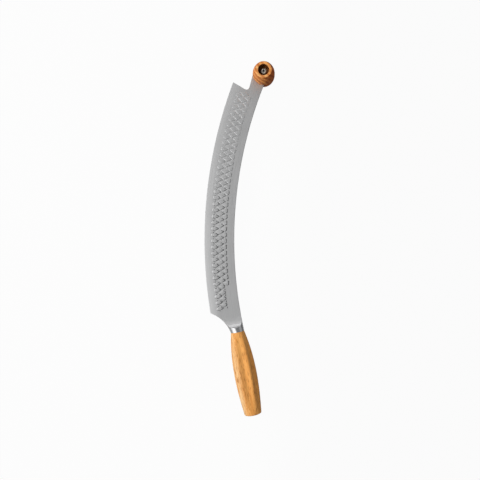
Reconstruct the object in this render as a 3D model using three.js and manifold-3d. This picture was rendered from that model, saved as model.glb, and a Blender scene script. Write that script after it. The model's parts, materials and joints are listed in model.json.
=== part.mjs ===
// Two-handed pizza and cheese knife, lying flat with its front face up.
//
// Lengths are millimetres and angles are degrees. The cutting edge and the spine are arcs about one
// centre, which is the modelling origin: +Y runs from the handle towards the cross grip, +Z leaves
// the front face. An arc angle is measured up from the level line to the left of that centre.

import * as THREE from "three";
import { mergeVertices } from "three/addons/utils/BufferGeometryUtils.js";
import ManifoldModule from "manifold-3d";

const wasm = await ManifoldModule();
wasm.setup();

// Blade
const EDGE_RADIUS = 560;
const BLADE_WIDTH = 37.3;
const BLADE_THICKNESS = 2.2;
const EDGE_THICKNESS = 0.4;
const BEVEL_WIDTH = 7.4;
const TIP_ANGLE = 20.8;
const HEEL_ANGLE = -9.3;
const STEP_TURN = 10.5;          // the tip's end is cut this much steeper than square to the edge
const NECK_TURN = 5.5;           // the neck's outer side against the edge's direction at the tip
const NOTCH_ROUND = 6;           // length that the rounding takes from each side of the notch
const HEEL_ARC_RADIUS = 43.3;    // hollow behind the heel, for the knuckles

// Embossed diamonds, in a band along the blade on both faces
const BAND_FROM_EDGE = 18.3;     // middle of the band
const BAND_WIDTH = 19.8;
const BAND_END_MARGIN = 9;       // bare blade between the band and the tip's end
const ROW_PITCH = 7.65;
const COLUMN_PITCH = 6.4;
const COLUMNS = 3;
const PAD_GAP = 0.4;
const PAD_LOW = 0.08;            // each diamond leans: low towards the edge, high towards the spine
const PAD_HIGH = 0.4;
const PAD_BEVEL = 0.7;
const PAD_ROOT = 0.1;            // how far the sloping sides run on below the blade's face
const BARE_PATCH_LENGTH = 34;    // beside the heel on the front face the band stays narrower
const BARE_PATCH_WIDTH = 5.6;

// Bolster, tang and handle
const HEEL_TO_HANDLE = 28.4;
const HANDLE_TURN = 1.75;        // the handle's axis against the arc's direction
const ROOT_RADIUS = 8.4;
const BOLSTER_LENGTH = 10.5;
const GRIND_RADIUS = 16.1;       // hollow grind from the blade's flat up to the bolster
const GRIND_START = 19.5;
const TANG_WIDTH = 8;
const TANG_LENGTH = 72;
const HANDLE_LENGTH = 105.7;
const BELLY_PLACE = 55.5;
const BELLY_RADIUS = 14.1;
const BUTT_RADIUS = 10.7;
const BUTT_DOME = 2.2;
const FLUTES = 6;
const FLUTE_DEPTH = 3.8;
const FRONT_SWELL = 2.15;        // how quickly the barrel swells from the root, as a power
const BUTT_SWELL = 1.75;

// Cross grip
const GRIP_REACH = 22.4;         // its axis beyond the tip corner, along the arc
const GRIP_FROM_SPINE = 5.3;     // its axis outside the spine's arc
const NECK_REACH = 13.1;         // the neck's outer side from that axis
const KNOB_RADIUS = 13.7;
const KNOB_LENGTH = 22.6;
const KNOB_STRAIGHT = 2;         // length of the full round before the taper begins
const KNOB_FACE_RADIUS = 10.1;
const KNOB_EDGE = 0.6;           // eased edges of the wood
const COUNTERBORE_RADIUS = 6.8;
const COUNTERBORE_DEPTH = 9.2;
const EYE_MARGIN = 2.2;          // the blade's eye stays inside the knobs by this much
const EYE_ROUND = 4;
const SLEEVE_RADIUS = 2.5;
const SCREW_RADIUS = 1.5;
const SCREW_LENGTH = 11;
const SCREW_HEAD_RADIUS = 3.25;
const SCREW_HEAD_HEIGHT = 2.2;
const SCREW_HEAD_RIM = 0.9;
const RECESS_LENGTH = 3.8;
const RECESS_WIDTH = 0.9;
const RECESS_DEPTH = 1.3;

// Clearances
const SEAM = 0.1;                // pieces that are fitted and stay put
const FIT = 0.3;                 // pieces that slide in or turn

// Fineness of the round shapes
const ARC_STEPS = 16;
const ROUND_STEPS = 36;
const SMALL_ROUND_STEPS = 20;
const FLUTE_STEPS = 6;
const HANDLE_RINGS = 18;
const TAPER_STEPS = 6;
const HEAD_STEPS = 3;
const BLANK_RINGS = 6;
const BLANK_STEPS = 32;
const MERGE_DISTANCE = 1e-4;

const spineRadius = EDGE_RADIUS - BLADE_WIDTH;
const halfBlade = BLADE_THICKNESS / 2;
const radians = THREE.MathUtils.degToRad;

// Places on the arcs

/** Point at a radius and an arc angle. */
function onArc(radius, angle) {
  return new THREE.Vector2(-radius * Math.cos(radians(angle)), radius * Math.sin(radians(angle)));
}

/** Arc angle covered by a length measured along an arc. */
function arcAngle(length, radius) {
  return THREE.MathUtils.radToDeg(length / radius);
}

/** Direction along the arc, towards the tip, turned towards the spine by an angle. */
function alongArc(angle, turn = 0) {
  const lean = radians(angle - turn);
  return new THREE.Vector2(Math.sin(lean), Math.cos(lean));
}

/** Angle of a point seen from a centre, as arcs of a path need it. */
function bearing(point, centre) {
  return Math.atan2(point.y - centre.y, point.x - centre.x);
}

/** Place of a + direction * distance. */
function step(start, direction, distance) {
  return start.clone().addScaledVector(direction, distance);
}

/** Turns a direction a quarter turn to its left. */
function leftOf(direction) {
  return new THREE.Vector2(-direction.y, direction.x);
}

/** Where two lines, each a point and a direction, cross. */
function crossing(pointA, directionA, pointB, directionB) {
  const between = pointB.clone().sub(pointA);
  return step(pointA, directionA, between.cross(directionB) / directionA.cross(directionB));
}

const arcCentre = new THREE.Vector2(0, 0);
const tipCorner = onArc(EDGE_RADIUS, TIP_ANGLE);
const heelCorner = onArc(EDGE_RADIUS, HEEL_ANGLE);

// The handle's own frame: origin where it meets the bolster, +Y down its axis, +X to the heel side
const rootRadius = spineRadius + ROOT_RADIUS;
const rootAngle = HEEL_ANGLE - arcAngle(HEEL_TO_HANDLE, rootRadius);
const root = onArc(rootRadius, rootAngle);
const handleAxis = alongArc(rootAngle, -HANDLE_TURN).negate();
const handleSide = leftOf(handleAxis).negate();
const handleRotation = Math.atan2(-handleAxis.x, handleAxis.y);
const handleFrame = new THREE.Matrix4()
  .makeRotationZ(handleRotation)
  .setPosition(root.x, root.y, 0);

/** Point in the plane from a place along the handle's axis and a distance across it. */
function fromHandle(along, across) {
  return step(step(root, handleAxis, along), handleSide, across);
}

// The hollow behind the heel passes through the heel corner and the handle's root
const rootCorner = fromHandle(0, ROOT_RADIUS);
const heelChord = rootCorner.clone().sub(heelCorner);
const heelArcCentre = step(
  heelCorner.clone().lerp(rootCorner, 0.5),
  leftOf(heelChord).normalize().negate(),
  Math.sqrt(HEEL_ARC_RADIUS ** 2 - heelChord.lengthSq() / 4),
);

/** Distance across the handle's axis at which a circle is met, on one side of the circle. */
function acrossCircle(along, centre, radius, side) {
  const offset = fromHandle(along, 0).sub(centre);
  const middle = offset.dot(handleSide);
  return -middle + side * Math.sqrt(middle ** 2 - offset.lengthSq() + radius ** 2);
}

const heelSideAt = (along) => acrossCircle(along, heelArcCentre, HEEL_ARC_RADIUS, -1);
const spineSideAt = (along) => acrossCircle(along, arcCentre, spineRadius, 1);

// The cross grip's axis
const gripRadius = spineRadius + GRIP_FROM_SPINE;
const gripAngle = TIP_ANGLE + arcAngle(GRIP_REACH, gripRadius);
const grip = onArc(gripRadius, gripAngle);
const eyeRadius = KNOB_RADIUS - EYE_MARGIN;

// Solids

/** Closed solid of a geometry, without the empty facets that merging its points leaves. */
function solidOf(geometry) {
  const bare = geometry.clone();
  bare.deleteAttribute("normal");
  bare.deleteAttribute("uv");
  const merged = mergeVertices(bare, MERGE_DISTANCE);
  const corners = merged.index.array;
  const facets = [];
  for (let i = 0; i < corners.length; i += 3) {
    const [a, b, c] = corners.slice(i, i + 3);
    if (a !== b && b !== c && c !== a) {
      facets.push(a, b, c);
    }
  }
  return new wasm.Manifold(new wasm.Mesh({
    numProp: 3,
    vertProperties: new Float32Array(merged.attributes.position.array),
    triVerts: new Uint32Array(facets),
  }));
}

/** Geometry of a solid, with a flat normal on every facet. */
function geometryOf(solid) {
  const mesh = solid.getMesh();
  const geometry = new THREE.BufferGeometry();
  geometry.setAttribute("position", new THREE.BufferAttribute(mesh.vertProperties.slice(), 3));
  geometry.setIndex(new THREE.BufferAttribute(mesh.triVerts.slice(), 1));
  geometry.computeVertexNormals();
  return geometry;
}

/** Closed geometry through rings of points that run the same way round, with flat ends. */
function loft(rings) {
  const count = rings[0].length;
  const top = (rings.length - 1) * count;
  const points = rings.flat();
  const faces = [];
  for (let low = 0; low < top; low += count) {
    for (let i = 0; i < count; i += 1) {
      const next = (i + 1) % count;
      const high = low + count;
      faces.push([low + i, low + next, high + next], [low + i, high + next, high + i]);
    }
  }
  for (let i = 1; i < count - 1; i += 1) {
    faces.push([0, i + 1, i], [top, top + i, top + i + 1]);
  }
  const sixVolumes = faces.reduce((sum, [a, b, c]) =>
    sum + points[a].dot(new THREE.Vector3().crossVectors(points[b], points[c])), 0);
  const outward = sixVolumes > 0 ? faces : faces.map(([a, b, c]) => [a, c, b]);
  const geometry = new THREE.BufferGeometry().setFromPoints(points);
  geometry.setIndex(outward.flat());
  return geometry;
}

/** Flat outline thickened evenly to both sides of the blade's middle plane. */
function plate(shape, thickness) {
  const geometry = new THREE.ExtrudeGeometry(shape, {
    depth: thickness,
    bevelEnabled: false,
    curveSegments: ARC_STEPS,
  });
  return geometry.translate(0, 0, -thickness / 2);
}

/** Profile of radius and height turned about the +Z axis. */
function turned(profile, steps) {
  const points = profile.map(([radius, height]) => new THREE.Vector2(radius, height));
  return new THREE.LatheGeometry(points, steps).rotateX(Math.PI / 2);
}

/** Box of the handle's frame, centred on its axis, between two places along it. */
function axisBox(width, thickness, from, to) {
  const geometry = new THREE.BoxGeometry(width, to - from, thickness);
  return geometry.translate(0, (from + to) / 2, 0);
}

// Blade

/** Outline of the blade from the spine over the eye, tip, edge and heel to the tang. */
function bladeOutline() {
  const shoulder = -BOLSTER_LENGTH - SEAM;
  const spineEnd = fromHandle(shoulder, spineSideAt(shoulder));
  const heelEnd = fromHandle(shoulder, heelSideAt(shoulder));

  const eyeDrop = Math.sqrt(eyeRadius ** 2 - GRIP_FROM_SPINE ** 2);
  const eyeCorner = onArc(spineRadius, gripAngle - arcAngle(eyeDrop, spineRadius));
  const spineTop = onArc(spineRadius, gripAngle - arcAngle(eyeDrop + EYE_ROUND, spineRadius));
  const eyeStart = bearing(eyeCorner, grip) + EYE_ROUND / eyeRadius;
  const eyeStartPoint = new THREE.Vector2(Math.cos(eyeStart), Math.sin(eyeStart))
    .multiplyScalar(eyeRadius)
    .add(grip);

  const neckUp = alongArc(TIP_ANGLE, NECK_TURN);
  const eyeEnd = step(grip, leftOf(neckUp), eyeRadius);
  const neckTop = step(grip, leftOf(neckUp), NECK_REACH);
  const stepIn = new THREE.Vector2(1, 0)
    .rotateAround(arcCentre, -radians(TIP_ANGLE + STEP_TURN));
  const notch = crossing(tipCorner, stepIn, neckTop, neckUp);
  const notchOnNeck = step(notch, neckUp, NOTCH_ROUND);
  const notchOnStep = step(notch, stepIn, -NOTCH_ROUND);

  const tangStart = fromHandle(shoulder, -TANG_WIDTH / 2);
  const outline = new THREE.Shape();
  outline.moveTo(tangStart.x, tangStart.y);
  outline.lineTo(spineEnd.x, spineEnd.y);
  outline.absarc(0, 0, spineRadius, bearing(spineEnd, arcCentre) + 2 * Math.PI,
    bearing(spineTop, arcCentre), true);
  outline.quadraticCurveTo(eyeCorner.x, eyeCorner.y, eyeStartPoint.x, eyeStartPoint.y);
  outline.absarc(grip.x, grip.y, eyeRadius, eyeStart, bearing(eyeEnd, grip), false);
  outline.lineTo(neckTop.x, neckTop.y);
  outline.lineTo(notchOnNeck.x, notchOnNeck.y);
  outline.quadraticCurveTo(notch.x, notch.y, notchOnStep.x, notchOnStep.y);
  outline.lineTo(tipCorner.x, tipCorner.y);
  outline.absarc(0, 0, EDGE_RADIUS, bearing(tipCorner, arcCentre),
    bearing(heelCorner, arcCentre) + 2 * Math.PI, false);
  outline.absarc(heelArcCentre.x, heelArcCentre.y, HEEL_ARC_RADIUS,
    bearing(heelCorner, heelArcCentre), bearing(heelEnd, heelArcCentre), true);
  for (const [along, across] of [
    [shoulder, TANG_WIDTH / 2],
    [TANG_LENGTH - TANG_WIDTH / 4, TANG_WIDTH / 2],
    [TANG_LENGTH, TANG_WIDTH / 4],
    [TANG_LENGTH, -TANG_WIDTH / 4],
    [TANG_LENGTH - TANG_WIDTH / 4, -TANG_WIDTH / 2],
  ]) {
    const corner = fromHandle(along, across);
    outline.lineTo(corner.x, corner.y);
  }
  outline.closePath();

  const hole = new THREE.Path();
  hole.absarc(grip.x, grip.y, SLEEVE_RADIUS + FIT, 0, 2 * Math.PI, true);
  outline.holes.push(hole);
  return outline;
}

/** Wedge that grinds one face of the blade down to the edge; face is 1 in front, -1 behind. */
function bevelCutter(face) {
  const beyond = BEVEL_WIDTH / 2;
  const drop = (halfBlade - EDGE_THICKNESS / 2) / BEVEL_WIDTH;
  const section = [
    [EDGE_RADIUS - BEVEL_WIDTH, halfBlade],
    [EDGE_RADIUS + beyond, halfBlade - drop * (BEVEL_WIDTH + beyond)],
    [EDGE_RADIUS + beyond, BLADE_THICKNESS],
    [EDGE_RADIUS - BEVEL_WIDTH, BLADE_THICKNESS],
  ];
  const from = HEEL_ANGLE - arcAngle(BEVEL_WIDTH, EDGE_RADIUS);
  const to = TIP_ANGLE + arcAngle(BEVEL_WIDTH, EDGE_RADIUS);
  const rings = [];
  for (let i = 0; i <= 2 * ARC_STEPS; i += 1) {
    const angle = THREE.MathUtils.lerp(from, to, i / (2 * ARC_STEPS));
    rings.push(section.map(([radius, height]) => {
      const place = onArc(radius, angle);
      return new THREE.Vector3(place.x, place.y, face * height);
    }));
  }
  return solidOf(loft(rings));
}

/** Keeps the part of a convex outline on one side of a depth from the edge. */
function clipDepth(outline, limit, side) {
  const kept = [];
  outline.forEach((point, i) => {
    const next = outline[(i + 1) % outline.length];
    const inside = side * (limit - point.x) >= 0;
    const nextInside = side * (limit - next.x) >= 0;
    if (inside) {
      kept.push(point);
    }
    if (inside !== nextInside) {
      kept.push(point.clone().lerp(next, (limit - point.x) / (next.x - point.x)));
    }
  });
  return kept;
}

/** One raised diamond, as a leaning pad with sloping sides; depth is measured in from the edge. */
function diamondPad(depth, angle, innerLimit, outerLimit, face) {
  const reach = COLUMN_PITCH;
  const rise = ROW_PITCH / 2;
  const flatToMiddle = (reach * rise) / Math.hypot(reach, rise);
  const size = 1 - PAD_GAP / 2 / flatToMiddle;
  const whole = [[reach, 0], [0, rise], [-reach, 0], [0, -rise]]
    .map(([x, y]) => new THREE.Vector2(depth + x * size, y * size));
  const base = clipDepth(clipDepth(whole, outerLimit, 1), innerLimit, -1);
  const middle = base
    .reduce((sum, point) => sum.add(point), new THREE.Vector2())
    .divideScalar(base.length);
  const top = base.map((point) => point.clone().lerp(middle, PAD_BEVEL / flatToMiddle));
  const raise = (outline, low, high) => outline.map((point) => {
    const radius = EDGE_RADIUS - point.x;
    const place = onArc(radius, angle + arcAngle(point.y, EDGE_RADIUS - depth));
    const share = (point.x - depth + reach) / (2 * reach);
    const height = halfBlade + THREE.MathUtils.lerp(low, high, share);
    return new THREE.Vector3(place.x, place.y, face * height);
  });
  return solidOf(loft([raise(base, -PAD_ROOT, -PAD_ROOT), raise(top, PAD_LOW, PAD_HIGH)]));
}

/** All raised diamonds of one face. */
function diamondBand(face) {
  const middleRadius = EDGE_RADIUS - BAND_FROM_EDGE;
  const rowAngle = arcAngle(ROW_PITCH, middleRadius);
  const bandTop = TIP_ANGLE - arcAngle(BAND_END_MARGIN, middleRadius);
  const rows = Math.floor((bandTop - HEEL_ANGLE) / rowAngle);
  const patchTop = HEEL_ANGLE + arcAngle(BARE_PATCH_LENGTH, middleRadius);
  const innerLimit = BAND_FROM_EDGE - BAND_WIDTH / 2;
  const pads = [];
  for (let row = 0; row < rows; row += 1) {
    for (let column = 0; column < COLUMNS; column += 1) {
      const stagger = column % 2 === 0 ? 0.5 : 0;
      const angle = bandTop - (row + stagger) * rowAngle;
      const bare = face > 0 && angle < patchTop ? BARE_PATCH_WIDTH : 0;
      const outerLimit = BAND_FROM_EDGE + BAND_WIDTH / 2 - bare;
      const depth = BAND_FROM_EDGE + (column - (COLUMNS - 1) / 2) * COLUMN_PITCH;
      pads.push(diamondPad(depth, angle, innerLimit, outerLimit, face));
    }
  }
  return pads;
}

// Bolster and heel

/** Round blank between the heel's hollow and the spine, from one place along the axis to another. */
function blank(from, to) {
  const rings = [];
  for (let i = 0; i <= BLANK_RINGS; i += 1) {
    const along = THREE.MathUtils.lerp(from, to, i / BLANK_RINGS);
    const middle = (heelSideAt(along) + spineSideAt(along)) / 2;
    const halfWidth = (heelSideAt(along) - spineSideAt(along)) / 2;
    const ring = [];
    for (let k = 0; k < BLANK_STEPS; k += 1) {
      const turn = (2 * Math.PI * k) / BLANK_STEPS;
      ring.push(new THREE.Vector3(
        middle + halfWidth * Math.cos(turn), along, ROOT_RADIUS * Math.sin(turn)));
    }
    rings.push(ring);
  }
  return solidOf(loft(rings));
}

/** What the hollow grind leaves of the blank: thin at the blade, full at the handle. */
function groundShape() {
  const full = ROOT_RADIUS + SEAM;
  const sweep = Math.acos(1 - (full - halfBlade) / GRIND_RADIUS);
  const profile = new THREE.Shape();
  profile.moveTo(-GRIND_START, -halfBlade);
  profile.absarc(-GRIND_START, -halfBlade - GRIND_RADIUS, GRIND_RADIUS,
    Math.PI / 2, Math.PI / 2 - sweep, true);
  profile.lineTo(GRIND_START, -full);
  profile.lineTo(GRIND_START, full);
  profile.absarc(-GRIND_START, halfBlade + GRIND_RADIUS, GRIND_RADIUS,
    -Math.PI / 2 + sweep, -Math.PI / 2, true);
  profile.closePath();
  const width = 2 * BLADE_WIDTH;
  const geometry = new THREE.ExtrudeGeometry(profile, {
    depth: width,
    bevelEnabled: false,
    curveSegments: BLANK_RINGS,
  });
  // The profile's first axis lies along the handle and its second across the blade's faces
  const axes = new THREE.Matrix4().makeBasis(
    new THREE.Vector3(0, 1, 0), new THREE.Vector3(0, 0, 1), new THREE.Vector3(1, 0, 0));
  return solidOf(geometry.translate(0, 0, -width / 2).applyMatrix4(axes));
}

/** The blade with its bevels, heel, eye, tang and embossed bands. */
function bladeGeometry() {
  const heel = blank(-GRIND_START, -BOLSTER_LENGTH - SEAM).intersect(groundShape());
  const heelInPlace = solidOf(geometryOf(heel).applyMatrix4(handleFrame));
  const ground = solidOf(plate(bladeOutline(), BLADE_THICKNESS))
    .subtract(bevelCutter(1))
    .subtract(bevelCutter(-1));
  return geometryOf(wasm.Manifold.union(
    [ground, heelInPlace, ...diamondBand(1), ...diamondBand(-1)]));
}

/** The collar between the blade's shoulder and the handle, with its slot for the tang. */
function bolsterGeometry() {
  const slot = axisBox(TANG_WIDTH + 2 * FIT, BLADE_THICKNESS + 2 * FIT,
    -2 * BOLSTER_LENGTH, BOLSTER_LENGTH);
  return geometryOf(blank(-BOLSTER_LENGTH, -SEAM)
    .intersect(groundShape())
    .subtract(solidOf(slot)));
}

// Handle

/** Radius of the handle's ridges at a place along its axis. */
function ridgeRadius(along) {
  if (along < BELLY_PLACE) {
    const share = (BELLY_PLACE - along) / BELLY_PLACE;
    return BELLY_RADIUS - (BELLY_RADIUS - ROOT_RADIUS) * share ** FRONT_SWELL;
  }
  const share = (along - BELLY_PLACE) / (HANDLE_LENGTH - BUTT_DOME - BELLY_PLACE);
  return BELLY_RADIUS - (BELLY_RADIUS - BUTT_RADIUS) * share ** BUTT_SWELL;
}

/** Ring of the handle: six hollow flutes between ridges, fading out at both ends. */
function handleRing(along, radius, depth) {
  const ring = [];
  for (let k = 0; k < FLUTES * FLUTE_STEPS; k += 1) {
    const turn = (2 * Math.PI * k) / (FLUTES * FLUTE_STEPS);
    const inFlute = (2 * (k % FLUTE_STEPS)) / FLUTE_STEPS - 1;
    const reach = radius - depth * (1 - inFlute ** 2);
    ring.push(new THREE.Vector3(reach * Math.cos(turn), along, reach * Math.sin(turn)));
  }
  return ring;
}

/** The fluted barrel with a low domed butt and the pocket for the tang. */
function handleGeometry() {
  const barrel = HANDLE_LENGTH - BUTT_DOME;
  const rings = [];
  for (let i = 0; i <= HANDLE_RINGS; i += 1) {
    const along = (barrel * i) / HANDLE_RINGS;
    const depth = FLUTE_DEPTH * Math.sin((Math.PI * along) / barrel);
    rings.push(handleRing(along, ridgeRadius(along), depth));
  }
  for (const share of [0.35, 0.65, 0.85]) {
    const along = barrel + BUTT_DOME * share;
    rings.push(handleRing(along, BUTT_RADIUS * Math.sqrt(1 - share ** 2), 0));
  }
  const pocket = axisBox(TANG_WIDTH + 2 * FIT, BLADE_THICKNESS + 2 * FIT,
    -BOLSTER_LENGTH, TANG_LENGTH + FIT);
  return geometryOf(solidOf(loft(rings)).subtract(solidOf(pocket)));
}

// Cross grip

const knobStart = halfBlade + FIT;
const knobEnd = knobStart + KNOB_LENGTH;
const seatHeight = knobEnd - COUNTERBORE_DEPTH;

/** One half of the cross grip: a barrel that tapers to its face, bored and counterbored. */
function knobGeometry() {
  const boreRadius = SLEEVE_RADIUS + FIT;
  const profile = [
    [boreRadius, knobStart],
    [KNOB_RADIUS - KNOB_EDGE, knobStart],
    [KNOB_RADIUS, knobStart + KNOB_EDGE],
  ];
  const taperEnd = KNOB_LENGTH - KNOB_EDGE;
  for (let i = 0; i <= TAPER_STEPS; i += 1) {
    const share = i / TAPER_STEPS;
    profile.push([
      KNOB_RADIUS - (KNOB_RADIUS - KNOB_FACE_RADIUS) * share ** 2,
      knobStart + THREE.MathUtils.lerp(KNOB_STRAIGHT, taperEnd, share),
    ]);
  }
  profile.push(
    [KNOB_FACE_RADIUS - KNOB_EDGE, knobEnd],
    [COUNTERBORE_RADIUS + KNOB_EDGE, knobEnd],
    [COUNTERBORE_RADIUS, knobEnd - KNOB_EDGE],
    [COUNTERBORE_RADIUS, seatHeight],
    [boreRadius, seatHeight],
    [boreRadius, knobStart],
  );
  return turned(profile, ROUND_STEPS);
}

const sleeveEnd = seatHeight + FIT;

/** The tapped sleeve that runs through the blade's eye and both halves. */
function sleeveGeometry() {
  const boreRadius = SCREW_RADIUS + FIT;
  return turned([
    [boreRadius, -sleeveEnd],
    [SLEEVE_RADIUS, -sleeveEnd],
    [SLEEVE_RADIUS, sleeveEnd],
    [boreRadius, sleeveEnd],
    [boreRadius, -sleeveEnd],
  ], SMALL_ROUND_STEPS);
}

/** Pan-head screw with a cross recess, its head down on the sleeve. */
function screwGeometry() {
  const seat = sleeveEnd + SEAM;
  const top = seat + SCREW_HEAD_HEIGHT;
  const profile = [[0, seat - SCREW_LENGTH], [SCREW_RADIUS - SEAM, seat - SCREW_LENGTH]];
  profile.push([SCREW_RADIUS, seat - SCREW_LENGTH + FIT], [SCREW_RADIUS, seat]);
  profile.push([SCREW_HEAD_RADIUS, seat]);
  for (let i = 0; i < HEAD_STEPS; i += 1) {
    const turn = (Math.PI / 2) * (i / HEAD_STEPS);
    profile.push([
      SCREW_HEAD_RADIUS * Math.cos(turn),
      seat + SCREW_HEAD_RIM + (SCREW_HEAD_HEIGHT - SCREW_HEAD_RIM) * Math.sin(turn),
    ]);
  }
  profile.push([0, top]);
  const slots = [[RECESS_LENGTH, RECESS_WIDTH], [RECESS_WIDTH, RECESS_LENGTH]]
    .map(([x, y]) => new THREE.BoxGeometry(x, y, 2 * RECESS_DEPTH).translate(0, 0, top));
  return geometryOf(solidOf(turned(profile, SMALL_ROUND_STEPS))
    .subtract(solidOf(slots[0]))
    .subtract(solidOf(slots[1])));
}

// Assembly

const finish = {
  satinSteel: { color: 0xb4b5b6, roughness: 0.38, metalness: 1 },
  polishedSteel: { color: 0xd6d7d8, roughness: 0.12, metalness: 1 },
  zincSteel: { color: 0xc2bfb6, roughness: 0.3, metalness: 1 },
  paleWood: { color: 0xdca765, roughness: 0.55, metalness: 0 },
  redWood: { color: 0xb0682f, roughness: 0.45, metalness: 0 },
};

/** Named sub-part with a material of its own. */
function piece(name, geometry, look) {
  const mesh = new THREE.Mesh(geometry, new THREE.MeshStandardMaterial(look));
  mesh.name = name;
  return mesh;
}

const handleGroup = new THREE.Group();
handleGroup.position.set(root.x, root.y, 0);
handleGroup.rotation.z = handleRotation;
handleGroup.add(
  piece("bolster", bolsterGeometry(), finish.polishedSteel),
  piece("handle", handleGeometry(), finish.paleWood),
);

const frontHalf = new THREE.Group();
frontHalf.add(
  piece("front_knob", knobGeometry(), finish.redWood),
  piece("front_screw", screwGeometry(), finish.zincSteel),
);

const rearHalf = new THREE.Group();
rearHalf.rotation.x = Math.PI;
rearHalf.add(
  piece("rear_knob", knobGeometry(), finish.redWood),
  piece("rear_screw", screwGeometry(), finish.zincSteel),
);

const gripGroup = new THREE.Group();
gripGroup.position.set(grip.x, grip.y, 0);
gripGroup.add(frontHalf, rearHalf, piece("knob_sleeve", sleeveGeometry(), finish.zincSteel));

const knife = new THREE.Group();
knife.add(piece("blade", bladeGeometry(), finish.satinSteel), handleGroup, gripGroup);

// The part's origin is the middle of its underside
const extent = new THREE.Box3().setFromObject(knife, true);
const middle = extent.getCenter(new THREE.Vector3());
knife.position.set(-middle.x, -middle.y, -extent.min.z);

export default knife;
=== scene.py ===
"""Finished look of a two-handed pizza and cheese knife: meshes, materials, studio and camera.

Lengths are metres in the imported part's frame: +Y runs from the handle to the cross grip, +X from the
cutting edge to the spine, and +Z leaves the front face.
"""

import json
import logging
import math
from collections.abc import Sequence
from dataclasses import dataclass, field, replace
from enum import Enum, IntEnum

import bmesh
import bpy
from mathutils import Matrix, Vector


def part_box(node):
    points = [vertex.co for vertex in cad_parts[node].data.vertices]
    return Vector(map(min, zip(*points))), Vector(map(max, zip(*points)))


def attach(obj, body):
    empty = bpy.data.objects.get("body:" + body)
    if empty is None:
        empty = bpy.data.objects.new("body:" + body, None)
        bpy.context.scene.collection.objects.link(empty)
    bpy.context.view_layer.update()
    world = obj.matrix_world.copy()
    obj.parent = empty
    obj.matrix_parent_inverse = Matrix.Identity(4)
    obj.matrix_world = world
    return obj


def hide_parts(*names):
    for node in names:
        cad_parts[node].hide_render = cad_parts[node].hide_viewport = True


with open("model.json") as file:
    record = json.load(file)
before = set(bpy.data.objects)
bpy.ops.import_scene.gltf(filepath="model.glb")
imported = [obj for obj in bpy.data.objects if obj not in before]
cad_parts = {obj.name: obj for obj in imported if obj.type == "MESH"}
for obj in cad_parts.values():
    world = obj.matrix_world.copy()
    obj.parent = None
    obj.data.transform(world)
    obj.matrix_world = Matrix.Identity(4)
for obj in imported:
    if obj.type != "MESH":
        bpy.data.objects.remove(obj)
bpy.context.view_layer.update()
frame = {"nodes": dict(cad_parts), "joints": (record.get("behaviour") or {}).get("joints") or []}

MM = 0.001
CRISP_ANGLE = 32  # degrees
WELD = 0.002 * MM
WAVE_UNIT = math.pi / 10  # scale at which a wave texture repeats once in a unit
log = logging.getLogger("knife")

Colour = tuple[float, float, float]
Sizes = tuple[float, float, float]
Span = tuple[float, float]
Piece = bpy.types.Object
Socket = bpy.types.NodeSocket
Work = bmesh.types.BMesh
Ring = list[Vector]
Row = list[bmesh.types.BMVert]


class Face(Enum):
    """The blade's two faces, as the sign of the side that they look to."""

    FRONT = 1
    REAR = -1


class GrainAxis(Enum):
    """Axis of a wooden piece's own frame that its grain runs along."""

    X = 0
    Y = 1


class Grinding(Enum):
    """How the fine lines of a steel surface run."""

    ALONG_ARC = "along the blade's arc"
    TURNED = "round the piece's own axis"
    POLISHED = "every way"


class Combining(Enum):
    """How a tool changes the piece that it meets."""

    JOIN = "UNION"
    CUT = "DIFFERENCE"


class BladeFinish(IntEnum):
    """Material indices of the blade."""

    SATIN = 0
    # Near-black steel on the diamonds' walls away from the light: a painted shade.
    DARK = 1


class KnobFinish(IntEnum):
    """Material indices of a half of the cross grip."""

    SIDE = 0
    # The face ring's paler wood is painted light on the face that looks up.
    RING = 1
    # The counterbore's darker wood is painted shade in the recess.
    SHADED_BORE = 2


class ScrewFinish(IntEnum):
    """Material indices of a screw."""

    PLATED = 0
    # The cross recess's near-black steel is painted shade.
    SHADED_RECESS = 1


# Meshes


def lerp(low: float, high: float, share: float) -> float:
    """Value at a share of the way from low to high."""
    return low + (high - low) * share


def on_circle(centre: Vector, radius: float, angle: float) -> Vector:
    """Point on a circle in the plan, at an angle in radians from +X."""
    return centre + radius * Vector((math.cos(angle), math.sin(angle)))


def arc(centre: Vector, radius: float, start: float, end: float, steps: int) -> Ring:
    """Points on a circle in the plan.

    Args:
        centre: middle of the circle.
        radius: its radius.
        start: angle of the first point, in radians from +X.
        end: angle of the last point.
        steps: number of chords.

    Returns:
        The points, first and last included.
    """
    return [on_circle(centre, radius, lerp(start, end, i / steps)) for i in range(steps + 1)]


def bend(start: Vector, corner: Vector, end: Vector, steps: int) -> Ring:
    """Points on the parabola that rounds a corner, between its ends and without them."""
    shares = [i / steps for i in range(1, steps)]
    return [start.lerp(corner, s).lerp(corner.lerp(end, s), s) for s in shares]


def bearing(point: Vector, centre: Vector) -> float:
    """Angle at which a point is seen from a centre."""
    return math.atan2(point.y - centre.y, point.x - centre.x)


def object_of(name: str, work: Work, sharp: float = CRISP_ANGLE,
              materials: Sequence[bpy.types.Material] = ()) -> Piece:
    """Turns a finished mesh into a smooth-shaded object.

    Args:
        name: name of the object and its mesh.
        work: the mesh, which is freed.
        sharp: edges steeper than this, in degrees, stay crisp.
        materials: materials in the order of the faces' indices.

    Returns:
        The object, linked to the scene.
    """
    bmesh.ops.remove_doubles(work, verts=work.verts, dist=WELD)
    bmesh.ops.dissolve_degenerate(work, dist=WELD, edges=work.edges)
    bmesh.ops.recalc_face_normals(work, faces=work.faces)
    mesh = bpy.data.meshes.new(name)
    work.to_mesh(mesh)
    work.free()
    for material in materials:
        mesh.materials.append(material)
    made = bpy.data.objects.new(name, mesh)
    bpy.context.scene.collection.objects.link(made)
    shade(made, sharp)
    return made


def shade(piece: Piece, sharp: float) -> None:
    """Shades a piece smooth, apart from edges steeper than an angle in degrees."""
    piece.data.shade_smooth()
    piece.data.set_sharp_from_angle(angle=math.radians(sharp))


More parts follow.
